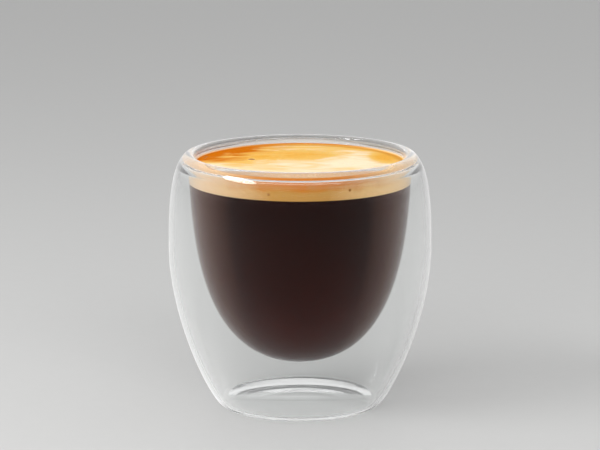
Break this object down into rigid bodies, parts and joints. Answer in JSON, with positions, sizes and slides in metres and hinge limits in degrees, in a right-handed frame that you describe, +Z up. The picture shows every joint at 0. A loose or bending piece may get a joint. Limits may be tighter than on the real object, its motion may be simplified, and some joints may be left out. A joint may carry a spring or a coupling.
{
  "type": "double espresso in a double-walled glass",
  "caption": "Strong black coffee under a layer of golden crema, filled almost to the rim of a small egg-shaped double-walled glass",
  "frame": {"origin": "the middle of the foot's underside, on the surface that the glass stands on", "axes": "+Z up along the axis of the glass; X and Y level. The part is a body of revolution about Z"},
  "size_m": [0.065, 0.065, 0.0632],
  "materials": {
    "glass": "clear polished borosilicate glass",
    "coffee": "near-black brown liquid, clear brown where it is thin",
    "crema": "fine golden foam, cream to amber, slightly glossy"
  },
  "bodies": {
    "root": {"glass": "glass", "coffee": "coffee", "crema": "crema"}
  },
  "joints": []
}
